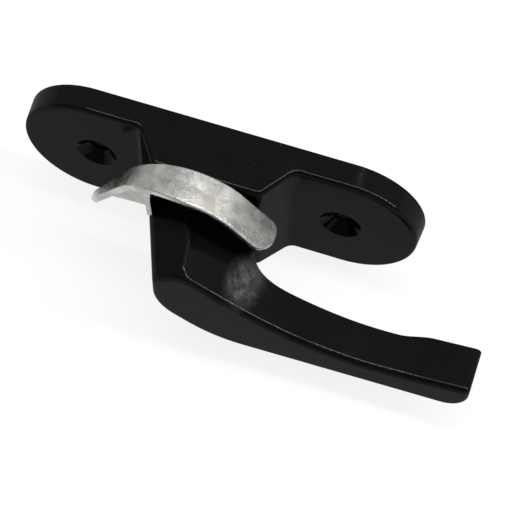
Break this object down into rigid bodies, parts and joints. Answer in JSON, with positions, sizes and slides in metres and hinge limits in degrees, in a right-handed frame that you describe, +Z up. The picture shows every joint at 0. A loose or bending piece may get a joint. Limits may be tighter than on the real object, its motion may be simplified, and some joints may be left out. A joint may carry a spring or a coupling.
{
  "type": "sliding window latch handle",
  "caption": "Crescent latch for a sliding window: black cast base with raised boss, turning lever handle and bare cast crescent hook that draws the sashes together.",
  "frame": {"origin": "centre of the mounting face, on the pivot axis, midway between the two screw holes", "axes": "+X along the base towards the lever's tip, -Y out of the mounting face towards the user, +Z up towards the crescent's bulge"},
  "size_m": [0.1179, 0.036, 0.0382],
  "materials": {
    "black_coat": "black semi-gloss powder coat on die casting",
    "bare_casting": "bare die casting, mottled and lightly pitted",
    "plated_steel": "zinc plated, dull",
    "spring_steel": "blued spring steel",
    "nylon": "natural nylon"
  },
  "bodies": {
    "base": {"base_body": "black_coat", "flanged_bush": "nylon", "spring_washer": "spring_steel", "rear_washer": "plated_steel", "detent_leaf": "spring_steel"},
    "handle": {"handle_lever": "black_coat", "crescent_hook": "bare_casting", "pivot_spindle": "plated_steel", "index_cam": "plated_steel"}
  },
  "joints": [
    {"name": "handle_turn", "type": "hinge", "parent": "base", "child": "handle", "pos_m": [0, 0, 0], "axis": [0, -1, 0], "range_deg": [0, 180], "deforming": ["detent_leaf"]}
  ]
}
